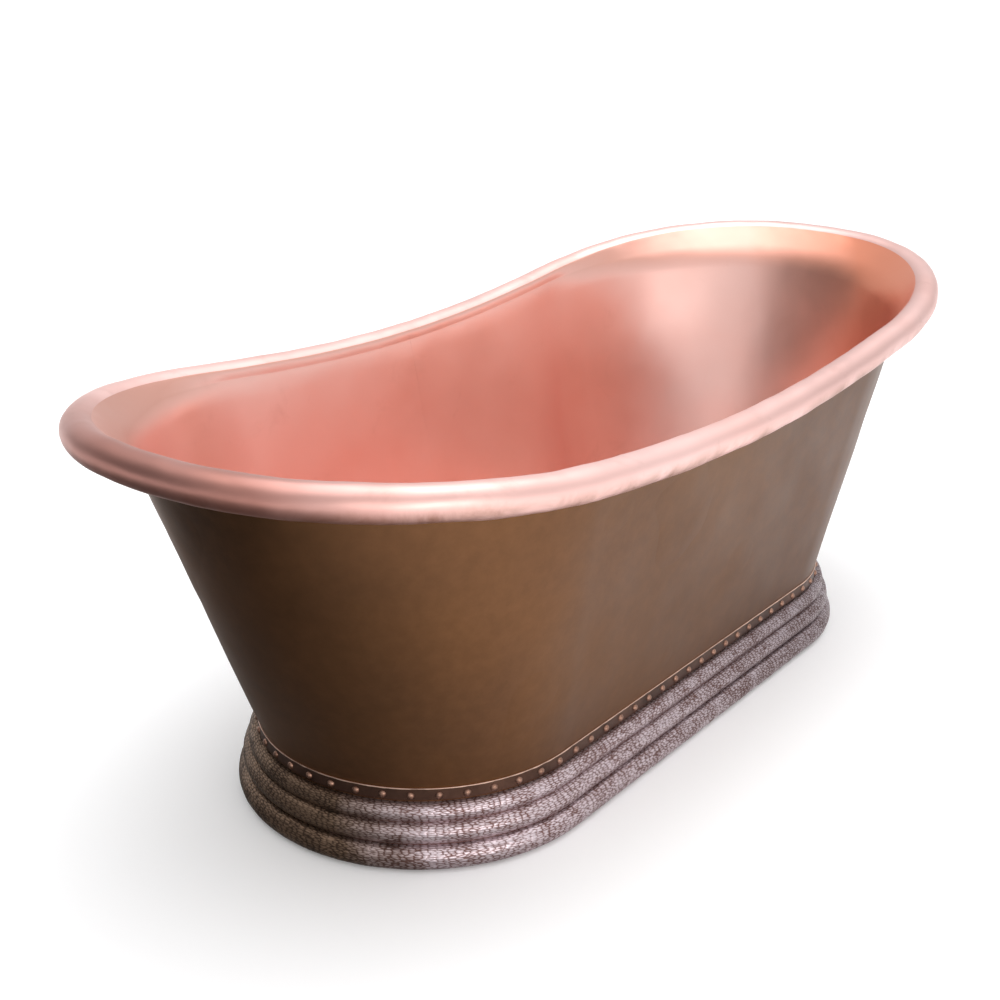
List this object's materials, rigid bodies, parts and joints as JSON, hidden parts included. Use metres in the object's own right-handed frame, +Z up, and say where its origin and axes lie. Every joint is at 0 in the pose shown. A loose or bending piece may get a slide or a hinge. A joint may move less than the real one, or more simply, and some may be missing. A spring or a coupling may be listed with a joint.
{
  "type": "freestanding bathtub",
  "caption": "Freestanding double-slipper copper bathtub: high rounded ends, rolled rim, smooth dark shell, studded band and hammered stepped plinth.",
  "frame": {"origin": "on the floor under the centre of the base", "axes": "+X along the tub's length, +Y across it, +Z up"},
  "size_m": [1.83, 0.794, 0.6789],
  "materials": {
    "natural_copper": "satin bare copper, soft hand-worked blotches",
    "rim_copper": "satin bare copper, browner on its underside",
    "patina_copper": "antique dark brown patina, smooth satin",
    "band_copper": "antique dark brown patina, worn bright at its top edge",
    "rivet_copper": "rubbed copper domes",
    "hammered_copper": "hammered, dark in the hollows and rubbed pale on the crests",
    "drain_copper": "polished copper-plated brass",
    "brass": "plain turned brass",
    "black_steel": "black enamel on steel",
    "zinc_steel": "bright zinc plate",
    "seal_rubber": "matt black rubber",
    "pad_rubber": "matt black rubber",
    "fibre": "pressed fibre"
  },
  "bodies": {
    "tub": {"basin_wall_1": "natural_copper", "basin_wall_2": "natural_copper", "basin_floor": "natural_copper", "jacket": "patina_copper", "rim_roll": "rim_copper", "rim_core_rod": "black_steel", "rivet_band": "band_copper", "rivets": "rivet_copper", "plinth_skirt": "hammered_copper", "skirt_screws": "zinc_steel", "base_ring": "black_steel", "floor_ring": "black_steel", "drain_body": "drain_copper", "drain_top_seal": "seal_rubber", "drain_lower_seal": "seal_rubber", "drain_friction_ring": "fibre", "drain_backnut": "brass", "tailpiece": "brass", "tailpiece_nut": "brass", "frame_post_1": "black_steel", "frame_post_2": "black_steel", "frame_post_3": "black_steel", "frame_post_4": "black_steel", "frame_post_5": "black_steel", "frame_post_6": "black_steel", "frame_post_7": "black_steel", "frame_post_8": "black_steel", "bearer_1": "black_steel", "bearer_2": "black_steel", "bearer_3": "black_steel", "bearer_4": "black_steel", "bearer_pad_1": "pad_rubber", "bearer_pad_2": "pad_rubber", "bearer_pad_3": "pad_rubber", "bearer_pad_4": "pad_rubber", "foot_plate_1": "black_steel", "foot_plate_2": "black_steel", "foot_plate_3": "black_steel", "foot_plate_4": "black_steel", "foot_locknut_1": "zinc_steel", "foot_locknut_2": "zinc_steel", "foot_locknut_3": "zinc_steel", "foot_locknut_4": "zinc_steel"},
    "stopper": {"stopper_cap": "drain_copper", "stopper_stem": "brass", "stopper_seal": "seal_rubber"},
    "foot_1": {"foot_stud_1": "zinc_steel", "foot_pad_1": "pad_rubber"},
    "foot_2": {"foot_stud_2": "zinc_steel", "foot_pad_2": "pad_rubber"},
    "foot_3": {"foot_stud_3": "zinc_steel", "foot_pad_3": "pad_rubber"},
    "foot_4": {"foot_stud_4": "zinc_steel", "foot_pad_4": "pad_rubber"}
  },
  "joints": [
    {"name": "stopper_lift", "type": "slide", "parent": "tub", "child": "stopper", "axis": [0, 0, 1], "range_m": [0, 0.01]},
    {"name": "foot_1_height", "type": "slide", "parent": "tub", "child": "foot_1", "axis": [0, 0, -1], "range_m": [0, 0.02]},
    {"name": "foot_2_height", "type": "slide", "parent": "tub", "child": "foot_2", "axis": [0, 0, -1], "range_m": [0, 0.02]},
    {"name": "foot_3_height", "type": "slide", "parent": "tub", "child": "foot_3", "axis": [0, 0, -1], "range_m": [0, 0.02]},
    {"name": "foot_4_height", "type": "slide", "parent": "tub", "child": "foot_4", "axis": [0, 0, -1], "range_m": [0, 0.02]}
  ]
}
